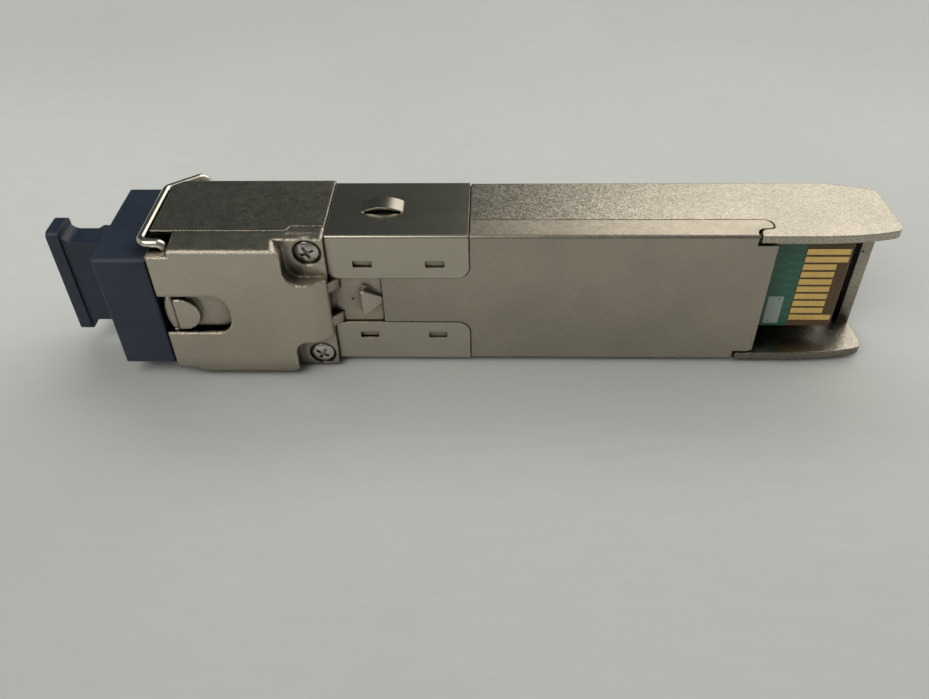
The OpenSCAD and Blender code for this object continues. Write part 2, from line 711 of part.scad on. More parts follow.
module circuit_board() color([0.10, 0.33, 0.26]) difference() {
    edge_z = board_w / 2;
    along_y(board_y, board_top_y) union() {
        translate([9.6, -5.3]) square([24.6, 10.6]);
        polygon([
            [34, -edge_z], [board_end_x - edge_cut, -edge_z], [board_end_x, -edge_z + edge_cut],
            [board_end_x, edge_z - edge_cut], [board_end_x - edge_cut, edge_z], [34, edge_z]]);
    }
    // bevelled card edge: each face, and the direction into the board
    for (face = [[board_y, 1], [board_top_y, -1]])
        along_z(-6, 6) translate([board_end_x, face[0]]) polygon([
            [-0.25, -0.1 * face[1]], [0.1, -0.1 * face[1]], [0.1, 0.3 * face[1]],
            [0, 0.25 * face[1]]]);
    // location notches
    both_sides() rod_y(0, 5, 0.6, 14, 5.45);
}

function has(list, item) = len([for (entry = list) if (entry == item) entry]) > 0;
// row of edge contacts; the ground contacts run nearer to the edge
module contact_row(y0, grounds) for (i = [0:pad_count - 1]) {
    z = (i - (pad_count - 1) / 2) * pad_pitch;
    end_x = board_end_x - (has(grounds, i) ? 0.3 : 1.15);
    box(38.2, end_x, y0, y0 + contact_t, z - 0.3, z + 0.3);
}
module bottom_contacts() color(contact_gold) contact_row(board_y - contact_t, [0, 8, 9]);
module top_contacts() color(contact_gold) contact_row(board_top_y, [0, 3, 6, 9]);

// block on the top face of the board, or on its underside
module chip(x, z, length, width, height, top = true) {
    low_y = top ? board_top_y : board_y - height;
    box(x, x + length, low_y, low_y + height, z, z + width);
}
// square chip with a round dimple near its corner
module marked_chip(x, z, side, height, mark_r, mark_in, top = true) difference() {
    mark_h = height - 0.05;
    chip(x, z, side, side, height, top);
    rod_y(top ? board_top_y + mark_h : 0, top ? 6 : board_y - mark_h,
          mark_r, x + mark_in, z + mark_in);
}

module laser_driver_chip() color(chip_black) marked_chip(13, -2, 4, driver_h, 0.18, 0.5);
module limiting_amp_chip() color(chip_black) marked_chip(20, -1.5, 3, 0.8, 0.15, 0.4);
module controller_chip() color(chip_black) marked_chip(17, -2.5, 5, 0.85, 0.2, 0.6, top = false);

module power_inductors() color([0.25, 0.25, 0.26]) for (z = [-2.8, 0.4]) difference() {
    chip(26, z, 2.6, 2.4, 1.3);
    rod_y(board_top_y + 1.2, 6, 0.8, 27.3, z + 1.2);
}

// rows of capacitors: count, first x, pitch, z, on the top face
capacitor_rows = [
    [6, 12.6, 2.6, 3.2, true],
    [5, 13, 3.4, 3.4, false],
    [4, 25, 2.0, -3.6, false]];
module board_capacitors() color([0.62, 0.52, 0.38])
    for (row = capacitor_rows)
        for (i = [0:row[0] - 1])
            chip(row[1] + i * row[2], row[3], 1.1, 0.6, 0.55, row[4]);

module thermal_pad() color([0.55, 0.62, 0.70])
    mid_box(heat_boss_x0 + 0.1, heat_boss_x1 - 0.1,
            board_top_y + driver_h + slip, heat_boss_y - slip, heat_boss_z - 0.1);

module emi_gasket() color([0.25, 0.26, 0.27]) mid_box(7.8, 8.8, 5.4, 7.38, 4.9);

main_housing();
head_cover();
bottom_cover();
emi_collar();
cover_screws();
bail_wire();
delatch_slider();
slider_spring();
dust_plug();
port_insert();
latch_hook_clip();
sleeve_holder();
split_sleeve();
fibre_stub();
optical_block();
block_clamp();
laser_can();
detector_can();
laser_flex();
detector_flex();
circuit_board();
bottom_contacts();
top_contacts();
laser_driver_chip();
limiting_amp_chip();
controller_chip();
power_inductors();
board_capacitors();
thermal_pad();
emi_gasket();
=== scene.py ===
"""Pluggable transceiver module with a bail latch and a dust plug, on a paper studio floor.

The pieces lie with X along the module, the bail towards -X and the board's contacts at +X.
Z runs across it, with mirrored sides at +Z and -Z, and Y runs along the cover screws.
Piece sizes are in mm; floor, lights and camera are in metres, in a Z-up world.
"""
import json
import math

import bmesh
import bpy
import numpy as np
from mathutils import Matrix, Vector


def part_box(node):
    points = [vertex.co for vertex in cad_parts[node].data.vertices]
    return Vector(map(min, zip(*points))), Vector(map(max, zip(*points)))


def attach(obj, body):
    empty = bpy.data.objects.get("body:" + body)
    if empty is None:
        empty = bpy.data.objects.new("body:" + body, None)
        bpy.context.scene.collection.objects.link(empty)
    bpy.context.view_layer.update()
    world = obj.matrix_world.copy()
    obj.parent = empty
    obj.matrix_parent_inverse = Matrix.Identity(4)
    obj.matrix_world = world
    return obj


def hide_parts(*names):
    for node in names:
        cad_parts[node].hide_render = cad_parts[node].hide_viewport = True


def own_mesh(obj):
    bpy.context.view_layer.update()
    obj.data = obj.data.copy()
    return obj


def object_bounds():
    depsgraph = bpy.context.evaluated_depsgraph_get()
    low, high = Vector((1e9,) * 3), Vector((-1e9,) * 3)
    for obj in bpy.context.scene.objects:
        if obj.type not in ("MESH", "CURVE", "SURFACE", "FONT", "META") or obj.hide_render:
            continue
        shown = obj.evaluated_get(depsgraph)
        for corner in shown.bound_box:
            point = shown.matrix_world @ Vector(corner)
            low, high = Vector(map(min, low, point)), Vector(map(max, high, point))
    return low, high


MM = 0.001
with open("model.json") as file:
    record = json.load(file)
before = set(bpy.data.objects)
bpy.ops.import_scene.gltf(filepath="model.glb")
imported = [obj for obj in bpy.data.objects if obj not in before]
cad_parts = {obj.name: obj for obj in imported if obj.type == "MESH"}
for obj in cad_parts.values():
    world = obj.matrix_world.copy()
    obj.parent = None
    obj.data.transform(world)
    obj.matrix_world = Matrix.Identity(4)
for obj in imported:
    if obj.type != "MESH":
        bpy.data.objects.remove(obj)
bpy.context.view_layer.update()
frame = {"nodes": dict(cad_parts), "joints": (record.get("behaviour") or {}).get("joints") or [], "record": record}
NODES = frame["nodes"]


def box_mm(node):
    low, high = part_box(node)
    return low / MM, high / MM


# ------------------------------------------------------------ node graphs
def around(centre, spread):
    return centre - spread, centre + spread


def tint(color, gain):
    return tuple(part * gain for part in color)


class NodeNet:
    """Short calls for building the nodes of a material or a world."""

    def __init__(self, owner):
        owner.use_nodes = True
        self.owner = owner
        self.tree = owner.node_tree
        self.tree.nodes.clear()

    def new(self, kind, **props):
        node = self.tree.nodes.new(kind)
        for key, value in props.items():
            setattr(node, key, value)
        return node

    def put(self, socket, value):
        """Link a socket, or set a value; a colour gets its alpha here."""
        if isinstance(value, bpy.types.NodeSocket):
            self.tree.links.new(value, socket)
        elif isinstance(value, tuple) and len(socket.default_value) == 4:
            socket.default_value = (*value, 1)
        else:
            socket.default_value = value

    def math(self, operation, a, b=None, clamp=False):
        node = self.new("ShaderNodeMath", operation=operation, use_clamp=clamp)
        self.put(node.inputs[0], a)
        if b is not None:
            self.put(node.inputs[1], b)
        return node.outputs[0]

    def add(self, a, b, clamp=False):
        return self.math("ADD", a, b, clamp)

    def sub(self, a, b, clamp=False):
        return self.math("SUBTRACT", a, b, clamp)

    def mul(self, a, b):
        return self.math("MULTIPLY", a, b)

    def abs(self, a):
        return self.math("ABSOLUTE", a)

    def vec(self, operation, a, b=None):
        node = self.new("ShaderNodeVectorMath", operation=operation)
        self.put(node.inputs[0], a)
        if b is not None:
            self.put(node.inputs[1], b)
        return node.outputs["Value" if operation in ("DOT_PRODUCT", "LENGTH") else "Vector"]

    def scale(self, vector, factor):
        node = self.new("ShaderNodeVectorMath", operation="SCALE")
        self.put(node.inputs[0], vector)
        self.put(node.inputs["Scale"], factor)
        return node.outputs["Vector"]

    def mix(self, factor, a, b):
        """Colour a to colour b."""
        node = self.new("ShaderNodeMix", data_type="RGBA")
        for i, value in ((0, factor), (6, a), (7, b)):
            self.put(node.inputs[i], value)
        return node.outputs[2]

    def lerp(self, factor, a, b):
        """Number a to number b."""
        node = self.new("ShaderNodeMix", data_type="FLOAT")
        for i, value in ((0, factor), (2, a), (3, b)):
            self.put(node.inputs[i], value)
        return node.outputs[0]

    def remap(self, value, span, to=(0.0, 1.0), smooth=False):
        kind = "SMOOTHSTEP" if smooth else "LINEAR"
        node = self.new("ShaderNodeMapRange", interpolation_type=kind)
        for i, part in enumerate((value, *span, *to)):
            self.put(node.inputs[i], part)
        return node.outputs[0]

    def band(self, value, span, soft):
        """1 inside the span, with soft sides."""
        start, end = span
        return self.mul(self.remap(value, around(start, soft)),
                        self.remap(value, around(end, soft), to=(1.0, 0.0)))

    def noise(self, place, scale, detail=2.0, rough=0.5, out="Fac"):
        node = self.new("ShaderNodeTexNoise")
        inputs = {"Vector": place, "Scale": scale, "Detail": detail, "Roughness": rough}
        for key, value in inputs.items():
            self.put(node.inputs[key], value)
        return node.outputs[out]

    def cells(self, place, scale):
        node = self.new("ShaderNodeTexVoronoi")
        self.put(node.inputs["Vector"], place)
        self.put(node.inputs["Scale"], scale)
        return node.outputs["Color"]

    def points(self):
        """Object coordinates in mm."""
        return self.scale(self.new("ShaderNodeTexCoord").outputs["Object"], 1000.0)

    def split(self, vector):
        node = self.new("ShaderNodeSeparateXYZ")
        self.put(node.inputs[0], vector)
        return node.outputs

    def join(self, *parts):
        node = self.new("ShaderNodeCombineXYZ")
        for i, part in enumerate(parts):
            self.put(node.inputs[i], part)
        return node.outputs[0]

    def lean(self, normal, offset):
        return self.vec("NORMALIZE", self.vec("ADD", normal, offset))

    def scatter(self, normal, color, amount):
        """Tilt a normal by a random colour."""
        offset = self.scale(self.vec("SUBTRACT", color, (0.5, 0.5, 0.5)), amount)
        return self.lean(normal, offset)

    def bump(self, height, distance, strength=1.0, normal=None):
        node = self.new("ShaderNodeBump")
        self.put(node.inputs["Strength"], strength)
        self.put(node.inputs["Distance"], distance * MM)
        self.put(node.inputs["Height"], height)
        if normal is not None:
            self.put(node.inputs["Normal"], normal)
        return node.outputs[0]

    def edge(self, radius):
        """Rounded normal, and a mask that is 1 where it turns away from the face."""
        bevel = self.new("ShaderNodeBevel", samples=4)
        self.put(bevel.inputs["Radius"], radius * MM)
        face = self.new("ShaderNodeNewGeometry").outputs["True Normal"]
        facing = self.vec("DOT_PRODUCT", bevel.outputs[0], face)
        return bevel.outputs[0], self.remap(facing, span=(0.995, 0.85))

    # painted shade: the colour itself is darkened in hollows, by ambient occlusion
    def shade(self, color, reach, span, darkest):
        """Darken hollows by ambient occlusion."""
        node = self.new("ShaderNodeAmbientOcclusion", samples=4)
        self.put(node.inputs["Distance"], reach * MM)
        return self.scale(color, self.remap(node.outputs["AO"], span, to=(darkest, 1.0)))

    def finish(self, color, rough, normal, metallic=0.0, **more):
        shader = self.new("ShaderNodeBsdfPrincipled")
        inputs = {"Base Color": color, "Roughness": rough, "Metallic": metallic,
                  "Normal": normal, **more}
        for key, value in inputs.items():
            self.put(shader.inputs[key], value)
        self.put(self.new("ShaderNodeOutputMaterial").inputs[0], shader.outputs[0])
        return self.owner


def new_material(name):
    return NodeNet(bpy.data.materials.new(name))


# ------------------------------------------------------------ materials
def flare(net, place, normal, amount):
    """Normals of the side flanges tilted outward near the open edge, as if the flanges sprang out a little."""
    z = net.split(place)[2]
    out = net.mul(net.remap(net.abs(z), span=(6.62, 6.68)), amount)
    return net.lean(normal, net.join(0.0, net.mul(out, -1.0), 0.0))


def painted_seam_shade(net, place, medium, color, seam):
    """Painted shade in the gap along the joint with the cover's flange, broken up by noise; seam is (y, start x,
    end x).
    """
    seam_y, *seam_x = seam
    x, y, z = net.split(place)
    line = net.mul(net.band(y, (seam_y - 0.05, seam_y + 0.10), soft=0.04),
                   net.band(x, seam_x, soft=0.05))
    line = net.mul(line, net.remap(net.abs(z), span=(6.5, 6.55)))
    line = net.mul(line, net.remap(medium, span=(0.35, 0.6), to=(0.45, 1.0)))
    return net.scale(color, net.remap(line, span=(0.0, 1.0), to=(1.0, 0.30)))


def ejector_mark(net, place, medium, color, centre):
    """Small worn ejector mark on the ledge behind the board's end."""
    away = net.vec("MULTIPLY", net.vec("SUBTRACT", place, centre), (1.0, 0.4, 0.8))
    away = net.vec("LENGTH", away)
    away = net.add(away, net.remap(medium, span=(0.3, 0.7), to=(-0.05, 0.05)))
    return net.scale(color, net.remap(away, span=(0.09, 0.20), to=(0.28, 1.0), smooth=True))


def metal(name, base, rough, grain=0.25, grain_scale=5.0, mottle=0.10, glitter=0.0,
          glitter_scale=6.5, streak=0.0, blotch=0.04, edge_r=0.10, edge_gain=0.25, torn=0.0,
          torn_stretch=None, hollow_shade=0.55, reach=0.7, ao_span=(0.15, 0.85),
          uneven=0.035, lean=0.0, mark=None, seam=None):
    """Worn metal.

    grain: relief height; mottle, blotch: fine and broad changes of brightness;
    glitter: tilt of small facets; streak: share of lines along X;
    edge_r, edge_gain: reach and brightness of bright rims, partly worn bare metal and partly a painted highlight;
    torn: their raggedness;
    crevice, reach, ao_span: how dark, wide and sudden the painted shade in hollows is; uneven: roughness spread.
    """
    net = new_material(name)
    place = net.points()
    normal, rim = net.edge(edge_r)
    fine = net.noise(place, scale=grain_scale, rough=0.7)
    wide = net.noise(place, scale=0.16)
    medium = net.noise(place, scale=1.1, detail=3.0, rough=0.6)
    if streak:
        line_stretch = (0.08, 5.0, 5.0)
        along = [net.mul(axis, gain) for axis, gain in zip(net.split(place), line_stretch)]
        lines = net.noise(net.join(*along), scale=1.5, detail=4.0, rough=0.75)
        fine = net.lerp(streak, fine, lines)
    if glitter:
        facet = net.cells(place, glitter_scale)
        normal = net.scatter(normal, facet, glitter)
    worn = net.mul(rim, net.remap(medium, span=(0.3, 0.6), to=(0.35, 1.0)))
    if lean:
        normal = flare(net, place, normal, lean)
    if torn:
        stretched = net.vec("MULTIPLY", place, torn_stretch)
        ragged = net.noise(stretched, scale=3.2, out="Color")
        normal = net.scatter(normal, ragged, net.mul(rim, torn))
    normal = net.bump(fine, distance=grain * 0.03, normal=normal)

    broad = net.remap(wide, span=(0.35, 0.65), smooth=True)
    color = net.mix(broad, tint(base, 1 - blotch), tint(base, 1 + blotch))
    speck = net.remap(fine, span=(0.25, 0.75), to=around(1.0, mottle))
    if glitter:
        facet_gain = net.remap(net.split(facet)[0], span=(0.0, 1.0), to=around(1.0, mottle))
        speck = net.mul(speck, facet_gain)
    color = net.scale(color, speck)
    # rims are bright in short broken dashes, partly as worn bare metal and partly as a painted highlight
    dash = net.split(net.cells(net.vec("MULTIPLY", place, (1.3, 1.0, 1.0)), scale=5.0))[1]
    worn = net.mul(worn, net.remap(dash, span=(0.25, 0.75), to=(0.3, 1.0)))
    bare = tuple(min(1.0, part) for part in tint(base, 1.7))
    color = net.mix(net.mul(worn, edge_gain), color, bare)
    # painted shade: the colour is darkened in hollows, and with a long reach deep inside openings
    color = net.shade(color, reach, ao_span, darkest=1.0 - hollow_shade)
    # painted shade along the gap of the joint with the cover's flange
    if seam:
        color = painted_seam_shade(net, place, medium, color, seam)
    if mark:
        color = ejector_mark(net, place, medium, color, mark)

    roughness = net.add(net.remap(medium, span=(0.3, 0.7), to=around(rough, uneven)),
                        net.remap(fine, span=(0.3, 0.7), to=(-0.03, 0.03)))
    roughness = net.sub(roughness, net.mul(worn, 0.12), clamp=True)
    return net.finish(color, roughness, normal, metallic=1.0)


def plastic(name, base, rough, grain=0.25, edge_r=0.12, edge_color=None, spec=0.4, coat=0.0):
    """Moulded or fired surface with paler worn edges; grain is the relief height."""
    net = new_material(name)
    place = net.points()
    normal, rim = net.edge(edge_r)
    fine = net.noise(place, scale=5.0, detail=4.0, rough=0.6)
    wide = net.noise(place, scale=0.25, detail=3.0)
    normal = net.bump(fine, distance=grain * 0.02, normal=normal)
    broad = net.remap(wide, span=(0.3, 0.7), smooth=True)
    color = net.mix(broad, tint(base, 0.88), tint(base, 1.12))
    color = net.mix(net.remap(fine, span=(0.55, 0.8), to=(0.0, 0.3)), color, tint(base, 1.4))
    patchy = net.remap(net.noise(place, scale=0.8), span=(0.35, 0.6), to=(0.3, 1.0))
    edge_gain = 0.5
    worn = net.mul(net.mul(rim, patchy), edge_gain)
    color = net.mix(worn, color, edge_color or tint(base, 2.2))
    # painted shade: the colour is darkened in hollows by ambient occlusion
    color = net.shade(color, reach=1.0, span=(0.15, 0.8), darkest=0.5)
    roughness = net.add(net.remap(wide, span=(0.3, 0.7), to=around(rough, 0.05)),
                        net.remap(fine, span=(0.3, 0.7), to=(-0.04, 0.04)), clamp=True)
    return net.finish(color, roughness, normal,
                      **{"Specular IOR Level": spec, "Coat Weight": coat})


def board_material():
    """Green mask with traces, a pale legend patch, and bare laminate at the contacts."""
    contact_pitch = 0.8
    patch_x, patch_z = (35.98, 37.33), (-4.28, -1.25)
    dots = ((36.95, -1.55), (36.35, -4.0))  # x, z in the patch

    net = new_material("board_mask_green")
    place = net.points()
    x, y, z = net.split(place)

    def stripes(turns, span):
        """One stripe at each whole turn."""
        return net.remap(net.abs(net.sub(net.math("FRACT", turns), 0.5)), span)

    normal, rim = net.edge(radius=0.05)
    weave = net.noise(net.join(net.mul(x, 3.0), 0.0, net.mul(z, 3.0)), scale=2.0)
    wide = net.noise(place, scale=0.6, detail=3.0)
    color = net.mix(net.remap(wide, span=(0.3, 0.7)),
                    (0.012, 0.088, 0.052), (0.019, 0.125, 0.073))
    # runs from each contact back under the cover
    runs = stripes(net.math("DIVIDE", net.add(z, 40.0), contact_pitch), span=(0.30, 0.36))
    runs = net.mul(runs, net.band(x, (36.9, 38.4), soft=0.05))
    # broken lines elsewhere
    slow = net.noise(net.join(net.mul(x, 0.4), 0.0, net.mul(z, 2.2)), scale=1.0, detail=1.0)
    broken = net.mul(stripes(net.mul(z, 0.9), span=(0.38, 0.42)),
                     net.remap(slow, span=(0.45, 0.5)))
    lines = net.math("MAXIMUM", net.mul(runs, 0.8), net.mul(broken, 0.5))
    color = net.mix(net.mul(lines, 0.55), color, (0.035, 0.19, 0.12))
    # bare laminate round the contacts
    bare = net.mix(weave, (0.085, 0.050, 0.020), (0.125, 0.075, 0.032))
    end = net.remap(x, span=(38.10, 38.16))
    color = net.mix(end, color, bare)
    # blank patch of legend ink with two dots, on the -Y face
    patch = net.mul(net.band(x, patch_x, soft=0.03), net.band(z, patch_z, soft=0.03))
    ink = net.noise(place, scale=3.0, detail=3.0)
    patch = net.mul(patch, net.remap(ink, span=(0.25, 0.45), to=(0.86, 1.0)))
    for dot_x, dot_z in dots:
        away = net.vec("LENGTH", net.join(net.sub(x, dot_x), 0.0, net.sub(z, dot_z)))
        patch = net.mul(patch, net.remap(away, span=(0.07, 0.11)))
    patch = net.mul(patch, net.remap(y, span=(2.6, 2.55)))
    color = net.mix(patch, color, (0.36, 0.42, 0.37))
    # roughness of the mask, then the laminate, then the ink
    rough = net.lerp(end, net.remap(wide, span=(0.3, 0.7), to=(0.28, 0.36)), 0.55)
    rough = net.lerp(patch, rough, 0.6)
    relief = net.mul(net.noise(place, scale=4.0, detail=3.0), 0.5)
    normal = net.bump(net.add(net.mul(lines, 0.8), relief), distance=0.012, normal=normal)
    color = net.mix(net.mul(rim, 0.3), color, (0.25, 0.23, 0.14))
    return net.finish(color, rough, normal,
                      **{"Coat Weight": net.lerp(end, 0.35, 0.0), "Coat Roughness": 0.25})


cover_hi = box_mm("bottom_cover")[1]
collar_hi = box_mm("emi_collar")[1]
TORN_ALONG_Z = (2.4, 0.7, 0.7)

# keyed by material slot, with two looks of their own: bottom_cover and screw
LOOKS = {
    # cast_shell: reach=7.0 spreads painted shade deep into the rear opening and onto the ears' inner faces
    "cast_shell": metal(
        "cast_shell_blasted", (0.455, 0.413, 0.342), rough=0.31, grain=0.04, grain_scale=7.0,
        mottle=0.19, glitter=0.09, glitter_scale=9.0, edge_r=0.18, edge_gain=0.35, torn=0.6,
        torn_stretch=(2.2, 0.8, 0.8), hollow_shade=0.93, reach=7.0, ao_span=(0.40, 0.92),
        mark=(44.05, 4.6, 1.95), seam=(cover_hi.y, collar_hi.x, cover_hi.x - 1.1)),
    # edge_gain=1.0: the rim brightening here paints most of the head cover's fold highlight
    "satin_cover": metal(
        "cover_satin", (0.500, 0.447, 0.365), rough=0.31, grain=0.05, mottle=0.035,
        glitter=0.035, edge_r=0.40, edge_gain=1.0, torn=1.0, torn_stretch=TORN_ALONG_Z,
        hollow_shade=0.90, reach=2.6, ao_span=(0.35, 0.97)),
    "bottom_cover": metal(
        "cover_sheet_satin", (0.390, 0.349, 0.286), rough=0.30, grain=0.06, mottle=0.035,
        glitter=0.035, lean=0.22, edge_r=0.12, edge_gain=0.1, torn=0.5,
        torn_stretch=TORN_ALONG_Z, hollow_shade=0.75, reach=0.8, ao_span=(0.35, 0.97)),
    "stainless_sheet": metal(
        "stainless_rolled", (0.475, 0.435, 0.360), rough=0.24, grain=0.06, mottle=0.03,
        streak=0.8, blotch=0.02, edge_r=0.06, edge_gain=0.05, uneven=0.01),
    "bright_steel": metal(
        "steel_bright", (0.72, 0.685, 0.60), rough=0.16, grain=0.05, grain_scale=3.0,
        mottle=0.03, edge_r=0.05, edge_gain=0.3, hollow_shade=0.7, reach=0.9),
    "screw": metal(
        "steel_screw", (0.58, 0.55, 0.49), rough=0.22, grain=0.10, mottle=0.04, edge_r=0.06,
        edge_gain=0.5, torn=0.25, torn_stretch=(1.0, 1.0, 1.0), hollow_shade=0.85, reach=0.5),
    "gold_plate": metal(
        "gold_plate", (0.90, 0.61, 0.22), rough=0.30, grain=0.08, grain_scale=8.0,
        blotch=0.07, edge_r=0.03, edge_gain=0.2),
    "plug_plastic": plastic(
        "plug_moulding", (0.023, 0.032, 0.056), rough=0.46, grain=0.35, edge_r=0.16,
        edge_color=(0.070, 0.080, 0.095), spec=0.45),
    "black_plastic": plastic("moulding_black", (0.022, 0.022, 0.024), rough=0.5, grain=0.3),
    "hook_plastic": plastic(
        "moulding_natural", (0.62, 0.58, 0.47), rough=0.45, grain=0.2,
        edge_color=(0.8, 0.78, 0.7)),
    "sleeve_ceramic": plastic(
        "zirconia_ground", (0.82, 0.80, 0.75), rough=0.22, grain=0.05,
        edge_color=(0.9, 0.9, 0.88), coat=0.3),
    "flex_film": plastic(
        "flex_polyimide", (0.50, 0.22, 0.035), rough=0.28, grain=0.08,
        edge_color=(0.6, 0.35, 0.1), coat=0.4),
    "capacitor_ceramic": plastic(
        "capacitor_fired", (0.42, 0.30, 0.18), rough=0.4, grain=0.2,
        edge_color=(0.7, 0.7, 0.7)),
    "soft_pad": plastic(
        "elastomer_soft", (0.30, 0.34, 0.39), rough=0.7, grain=0.6,
        edge_color=(0.4, 0.44, 0.48)),
    "board_mask": board_material(),
}

slot_of = {part["node"]: part["material_slot"] for part in frame["record"]["subparts"]}
for name, node in NODES.items():
    node.data.materials.clear()
    look = name if name == "bottom_cover" else slot_of[name]
    node.data.materials.append(LOOKS[look])


# ------------------------------------------------------------ mesh helpers
def add_object(name, mesh, material):
    obj = bpy.data.objects.new(name, mesh)
    bpy.context.scene.collection.objects.link(obj)
    mesh.materials.append(material)
    return obj


def smooth_shade(mesh):
    mesh.polygons.foreach_set("use_smooth", [True] * len(mesh.polygons))


def loft(name, rings, material, flip=False):
    """Closed skin over rings of points in metres; flip turns the faces over."""
    count, size = len(rings), len(rings[0])
    faces = []
    for i in range(count - 1):
        for k in range(size):
            after = (k + 1) % size
            low, high = i * size, (i + 1) * size
            faces.append((low + k, low + after, high + after, high + k))
    faces += [tuple(reversed(range(size))), tuple(range((count - 1) * size, count * size))]
    if flip:
        faces = [face[::-1] for face in faces]
    mesh = bpy.data.meshes.new(name)
    mesh.from_pydata([tuple(point) for ring in rings for point in ring], [], faces)
    mesh.update()
    smooth_shade(mesh)
    return add_object(name, mesh, material)


def rounded_path(points, radius, steps):
    """Points of a polyline whose inner corners are replaced by arcs."""
    points = [Vector(point) for point in points]
    path = [points[0]]
    for before, corner, after in zip(points, points[1:], points[2:]):
        enter, leave = (corner - before).normalized(), (after - corner).normalized()
        angle = enter.angle(leave)
        inward = (leave - enter * enter.dot(leave)).normalized()
        centre = corner - enter * (radius * math.tan(angle / 2)) + inward * radius
        for k in range(steps + 1):
            turn = angle * k / steps
            path.append(centre - inward * radius * math.cos(turn)
                        + enter * radius * math.sin(turn))
    path.append(points[-1])
    return path


def tube(name, path, radius, material, sides=28):
    path = [point * MM for point in path]
    runs = [(after - before).normalized() for before, after in zip(path, path[1:])]
    bends = [(before + after).normalized() for before, after in zip(runs, runs[1:])]
    previous = runs[0]
    across = previous.orthogonal().normalized()
    rings = []
    for point, along in zip(path, [runs[0], *bends, runs[-1]]):
        across = (previous.rotation_difference(along) @ across).normalized()
        across = (across - along * across.dot(along)).normalized()
        third = along.cross(across)
        previous = along
        angles = [2 * math.pi * k / sides for k in range(sides)]
        rings.append([point + (across * math.cos(a) + third * math.sin(a)) * radius * MM
                      for a in angles])
    return loft(name, rings, material)


def stadium(start, end, radius, steps=14):
    """Outline of a round-ended bar."""
    heading = math.atan2(end[1] - start[1], end[0] - start[0])
    outline = []
    for (x, y), first_angle in ((end, heading - math.pi / 2), (start, heading + math.pi / 2)):
        for k in range(steps + 1):
            angle = first_angle + math.pi * k / steps
            outline.append((x + radius * math.cos(angle), y + radius * math.sin(angle)))
    return outline


# ------------------------------------------------------------ bail
# one bent round wire, and a crank: a pin between two flattened webs
WIRE_R = 0.4
BEND_R = 0.7
WIRE_END_Z = 1.72
CROSS_OFFSET_X = 3.0  # cross bar from the legs
CROSS_OFFSET_Y = 2.25
CRANK_R = 0.9
CRANK_ANGLE = math.radians(40)

bail_lo, bail_hi = box_mm("bail_wire")
pivot = Vector([j for j in frame["joints"] if j["name"] == "bail_swing"][0]["pos_m"]) / MM
crank = (pivot.x - CRANK_R * math.sin(CRANK_ANGLE), pivot.y - CRANK_R * math.cos(CRANK_ANGLE))


def build_wire():
    leg_x, leg_z, cross_y = bail_lo.x + WIRE_R, bail_hi.z - WIRE_R, bail_hi.y - WIRE_R
    half = [
        (pivot.x, pivot.y, WIRE_END_Z),
        (pivot.x, pivot.y, leg_z),
        (leg_x, pivot.y, leg_z),
        (leg_x, cross_y - CROSS_OFFSET_Y, leg_z),
        (leg_x + CROSS_OFFSET_X, cross_y, leg_z),
    ]
    whole = half + [(x, y, -z) for x, y, z in reversed(half)]
    path = rounded_path(whole, BEND_R, steps=14)
    wire = tube("bail_round_wire", path, WIRE_R, LOOKS["bright_steel"])
    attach(wire, "bail")
    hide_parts("bail_wire")


def build_pin():
    """The crank's pin: squarer than round in the middle, and bellied towards -X."""
    sides = 40
    rings = []
    for z in np.linspace(-1.7, 1.7, 25):
        belly = 0.24 * max(0.0, 1 - (z / 1.55) ** 2)
        power = 1.0 - 0.42 * max(0.0, 1 - (z / 1.6) ** 4)  # superellipse exponent
        ring = []
        for k in range(sides):
            angle = 2 * math.pi * k / sides
            x, y = (WIRE_R * math.copysign(abs(part) ** power, part)
                    for part in (math.cos(angle), math.sin(angle)))
            if x < 0:
                x *= 1 + belly / WIRE_R
            ring.append(Vector((crank[0] + x, crank[1] + y, z)) * MM)
        rings.append(ring)
    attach(loft("bail_crank_pin", rings, LOOKS["satin_cover"]), "bail")


# distance from the middle plane, and share of the full outline radius
WEB_SECTIONS = ((1.63, 0.85), (1.66, 0.96), (1.70, 1.0), (1.88, 1.0), (1.92, 0.96), (1.95, 0.85))


def build_web(side, tag):
    rings = [[Vector((x, y, z * side)) * MM
              for x, y in stadium((pivot.x, pivot.y), crank, WIRE_R * share)]
             for z, share in WEB_SECTIONS]
    web = loft("bail_crank_web_" + tag, rings, LOOKS["bright_steel"], flip=side < 0)
    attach(web, "bail")


build_wire()
build_pin()
build_web(1, "near")
build_web(-1, "far")

# ------------------------------------------------------------ screws and spring
SCREW_HEAD_R = 1.0
screws_lo, screws_hi = box_mm("cover_screws")


def build_screw(side, tag, turn):
    """One screw of the pair, turned to its own angle as if driven home."""
    centre = Vector(((screws_lo.x + screws_hi.x) / 2, 0, (screws_hi.z - SCREW_HEAD_R) * side))
    bm = bmesh.new()
    bm.from_mesh(NODES["cover_screws"].data)
    other = [v for v in bm.verts if v.co.z * side < 0]
    bmesh.ops.delete(bm, geom=other, context="VERTS")
    bmesh.ops.remove_doubles(bm, verts=bm.verts, dist=1e-6)
    bmesh.ops.rotate(bm, verts=bm.verts, cent=centre * MM,
                     matrix=Matrix.Rotation(math.radians(turn), 3, "Y"))
    mesh = bpy.data.meshes.new("cover_screw_" + tag)
    bm.to_mesh(mesh)
    bm.free()
    smooth_shade(mesh)
    screw = add_object("cover_screw_" + tag, mesh, LOOKS["screw"])
    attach(screw, "module")
    return screw


def build_spring():
    """The CAD coil again, as a piece of its own on the module."""
    mesh = NODES["slider_spring"].data.copy()
    mesh.materials.clear()
    spring = add_object("return_spring_flat", mesh, LOOKS["stainless_sheet"])
    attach(spring, "module")
    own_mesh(spring)
    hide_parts("slider_spring")


near_screw = build_screw(1, "near", turn=22)
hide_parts("cover_screws")
far_screw = build_screw(-1, "far", turn=-14)
build_spring()


